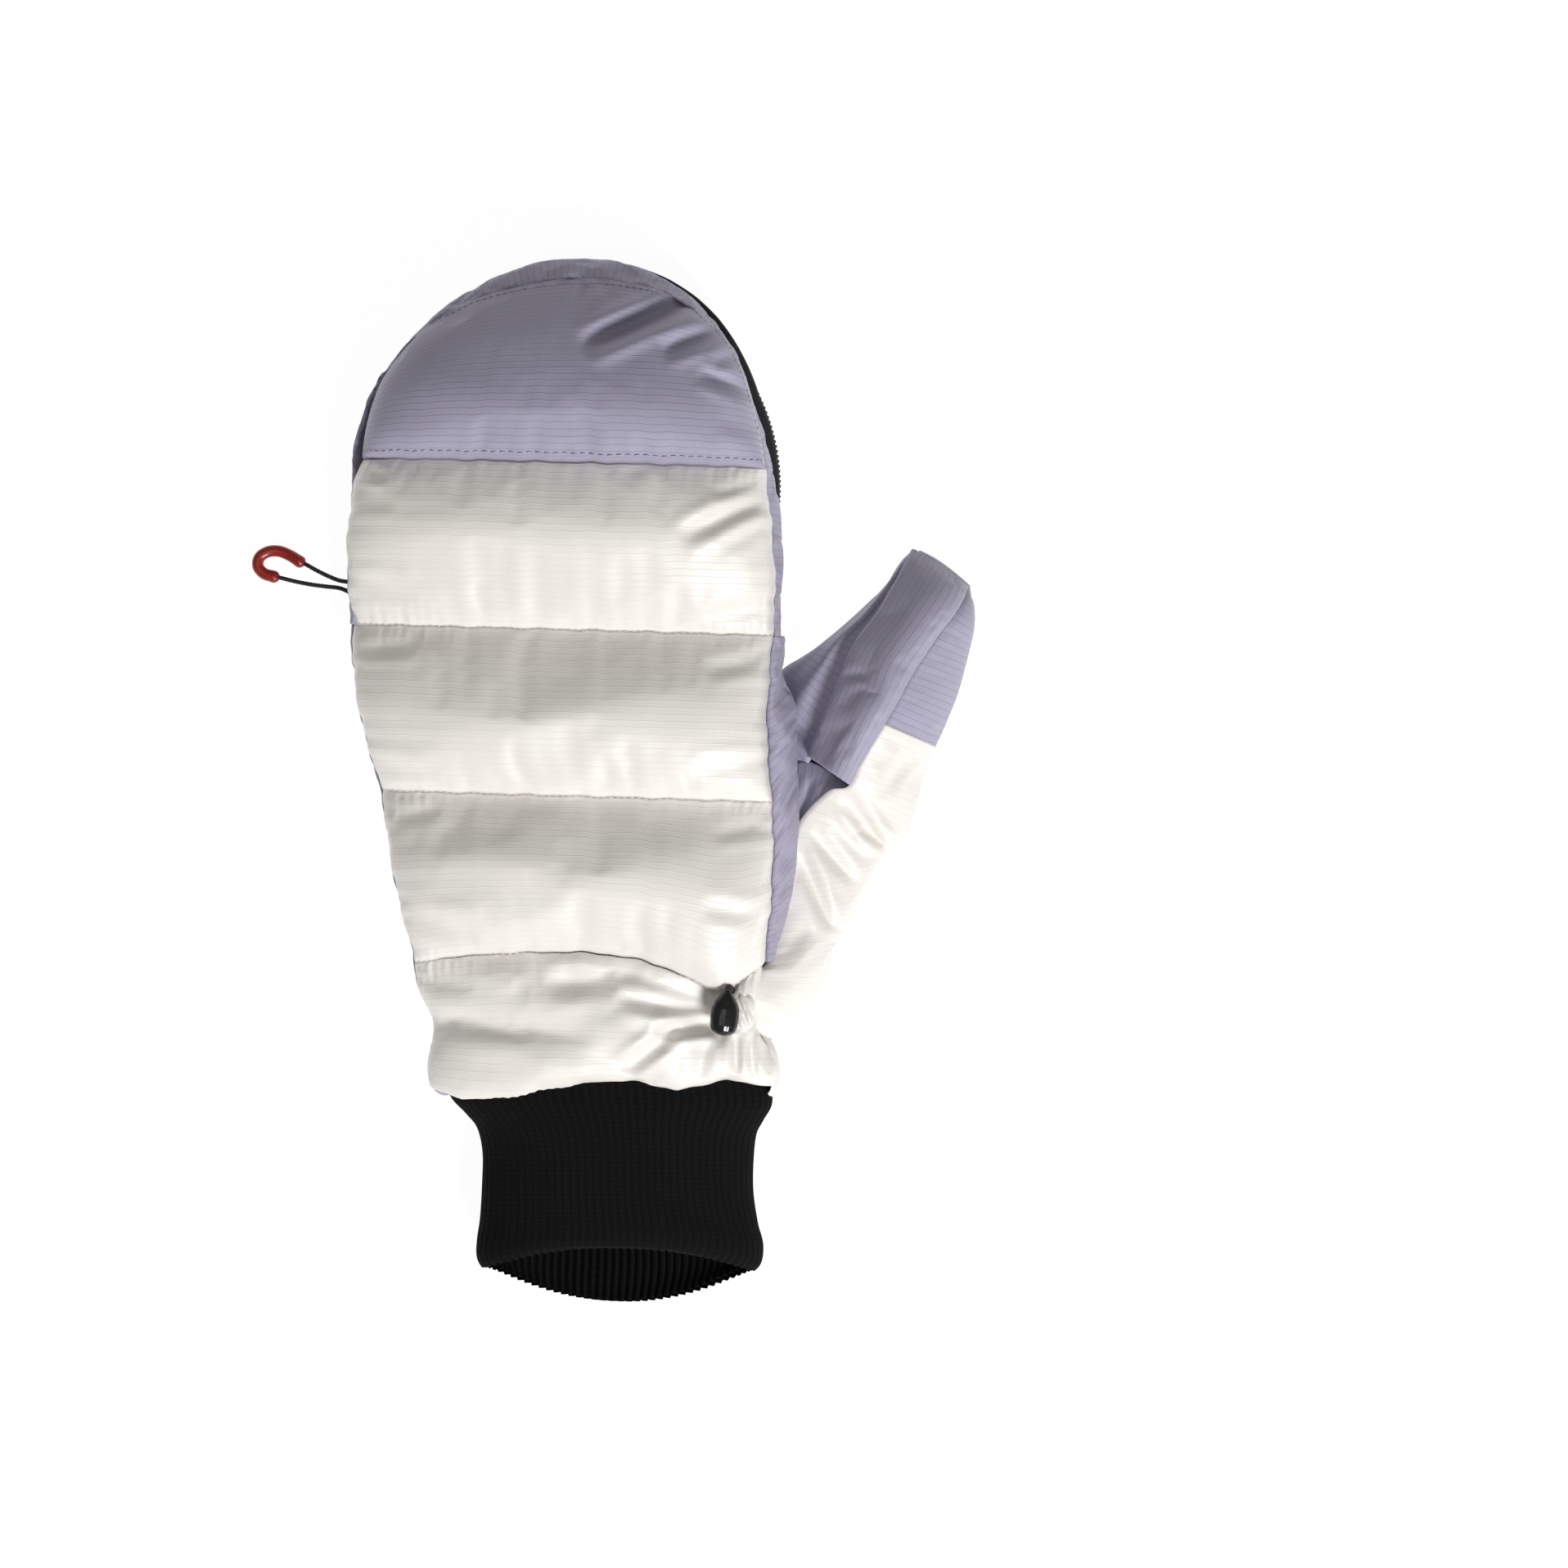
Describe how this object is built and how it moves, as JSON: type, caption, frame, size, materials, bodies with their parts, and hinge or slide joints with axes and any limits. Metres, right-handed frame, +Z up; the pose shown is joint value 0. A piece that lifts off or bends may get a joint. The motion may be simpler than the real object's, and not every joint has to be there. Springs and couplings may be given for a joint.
{
  "type": "ski mitten",
  "caption": "Left-hand quilted ski mitten whose rounded tip unzips and folds back, with a ribbed cuff, a cord-pulled zip slider and a sprung cord lock at the wrist.",
  "frame": {"origin": "on the flat underside of the palm, midway across the hood, below the line where the hood folds", "axes": "+Y along the hand to the fingertips, +X to the thumb side, +Z up out of the back of the hand; the mitten lies palm down"},
  "size_m": [0.2196, 0.3081, 0.057],
  "materials": {
    "lilac_ripstop": "matte ripstop weave",
    "pearl_satin": "satin ripstop with a pearly sheen",
    "fill": "lofted fill",
    "lining": "brushed lining",
    "elastic": "woven elastic",
    "drawcord": "braided",
    "rib_knit": "rib knit",
    "zip_tape": "woven tape",
    "zip_coil": "moulded coil",
    "zip_stop": "moulded",
    "thread": "sewing thread",
    "slider": "black lacquered casting",
    "pull_cord": "braided",
    "grip": "glossy moulded",
    "lock": "moulded, satin",
    "spring": "bright wire"
  },
  "bodies": {
    "mitt": {"palm_shell": "lilac_ripstop", "palm_insulation": "fill", "palm_liner": "lining", "pinky_gusset": "lilac_ripstop", "thumb_side_gusset": "lilac_ripstop", "hand_liner": "lining", "back_panel": "pearl_satin", "knuckle_fill": "fill", "mid_fill": "fill", "wrist_fill": "fill", "hem_band_back": "pearl_satin", "hem_band_palm": "lilac_ripstop", "wrist_elastic": "elastic", "drawcord": "drawcord", "drawcord_tunnel": "pearl_satin", "drawcord_anchor": "pearl_satin", "rib_cuff": "rib_knit", "thumb_palm_panel": "lilac_ripstop", "thumb_strips": "lilac_ripstop", "thumb_back_panel": "pearl_satin", "thumb_tip_patch": "lilac_ripstop", "thumb_insulation": "fill", "thumb_liner": "lining", "zip_tape_palm": "zip_tape", "zip_teeth_palm": "zip_coil", "zip_end_stops": "zip_stop", "fold_seam": "thread"},
    "hood": {"hood_tip_panel": "lilac_ripstop", "hood_baffle": "pearl_satin", "hood_gusset": "lilac_ripstop", "hood_tip_fill": "fill", "hood_baffle_fill": "fill", "hood_liner": "lining", "zip_tape_hood": "zip_tape", "zip_teeth_hood": "zip_coil"},
    "slider": {"slider_body": "slider"},
    "pull": {"pull_cord": "pull_cord", "pull_grip": "grip"},
    "cord_lock": {"lock_housing": "lock", "lock_spring": "spring"},
    "lock_plunger": {"lock_plunger": "lock"}
  },
  "joints": [
    {"name": "hood_fold", "type": "hinge", "parent": "mitt", "child": "hood", "pos_m": [0, 0, 0.04], "axis": [1, 0, 0], "range_deg": [0, 110]},
    {"name": "zip_travel", "type": "hinge", "parent": "mitt", "child": "slider", "pos_m": [0, 0.0436, 0.014], "axis": [0, 0, -1], "range_deg": [0, 190]},
    {"name": "pull_swing", "type": "hinge", "parent": "slider", "child": "pull", "pos_m": [-0.06055, 0.01072, 0.014], "axis": [0, 0, 1], "range_deg": [-40, 55]},
    {"name": "lock_slide", "type": "slide", "parent": "mitt", "child": "cord_lock", "axis": [1, 0, 0], "range_m": [-0.012, 0.003]},
    {"name": "lock_press", "type": "slide", "parent": "cord_lock", "child": "lock_plunger", "axis": [0, -1, 0], "range_m": [0, 0.0022], "stiffness_N_per_m": 300, "springref_m": -0.001, "deforming": ["lock_spring"]}
  ]
}
